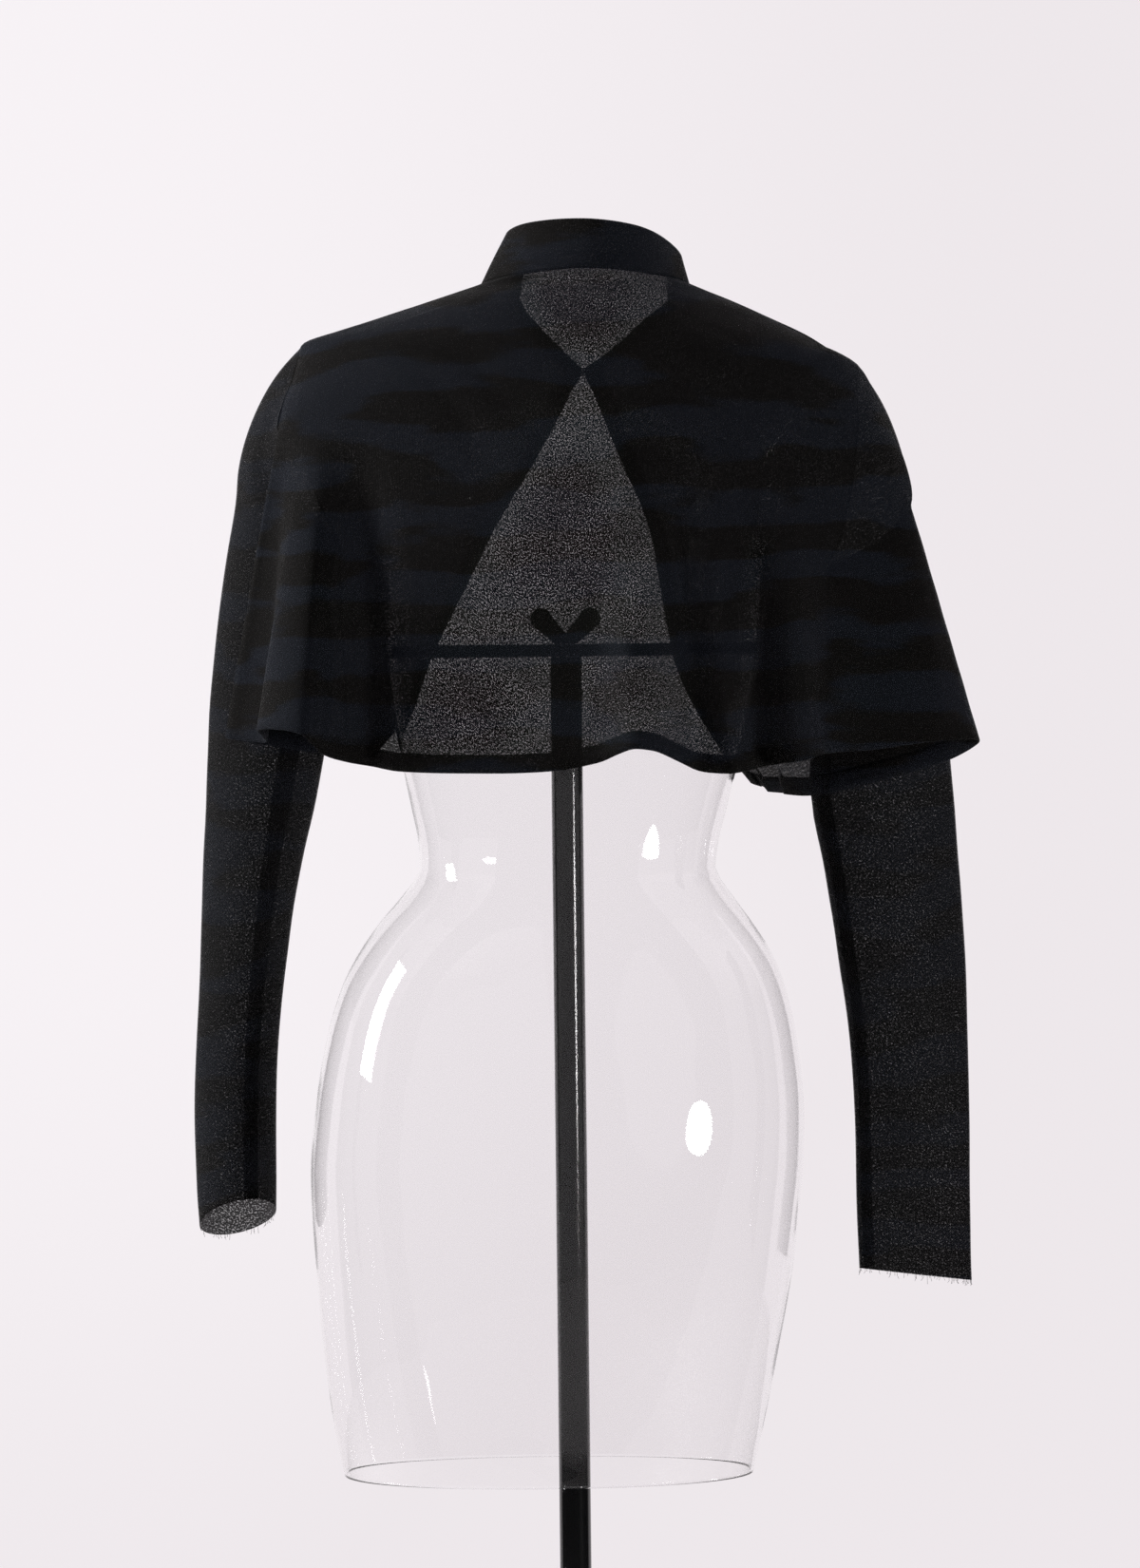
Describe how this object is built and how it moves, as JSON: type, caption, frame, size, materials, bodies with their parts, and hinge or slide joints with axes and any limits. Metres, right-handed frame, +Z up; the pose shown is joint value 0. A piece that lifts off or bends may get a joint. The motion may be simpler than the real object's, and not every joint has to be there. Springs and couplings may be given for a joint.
{
  "type": "cropped sheer knit cardigan on a clear dress form with a round stand",
  "caption": "Cropped flared open-front cardigan in dark sheer knit, with a stand collar and long slim sleeves, worn by a clear dress form on a pole and base.",
  "frame": {"origin": "centre of the base plate's underside, on the pole's axis", "axes": "+Z up along the pole, -Y towards the side that the garment's back faces, +X to the right as seen from that side"},
  "size_m": [0.5632, 0.34, 1.4907],
  "materials": {
    "knit": "fine ribbed sheer knit with tonal wavy bands",
    "wire": "blackened wire",
    "clear_plastic": "clear moulded plastic",
    "black_gloss": "black gloss paint"
  },
  "bodies": {
    "root": {"back_panel": "knit", "front_left": "knit", "front_right": "knit", "collar": "knit", "sleeve_left": "knit", "sleeve_right": "knit", "hook": "wire", "eye": "wire", "form_shell": "clear_plastic", "crossbar": "black_gloss", "wing_nut": "black_gloss", "pole": "black_gloss", "base_plate": "black_gloss"}
  },
  "joints": []
}
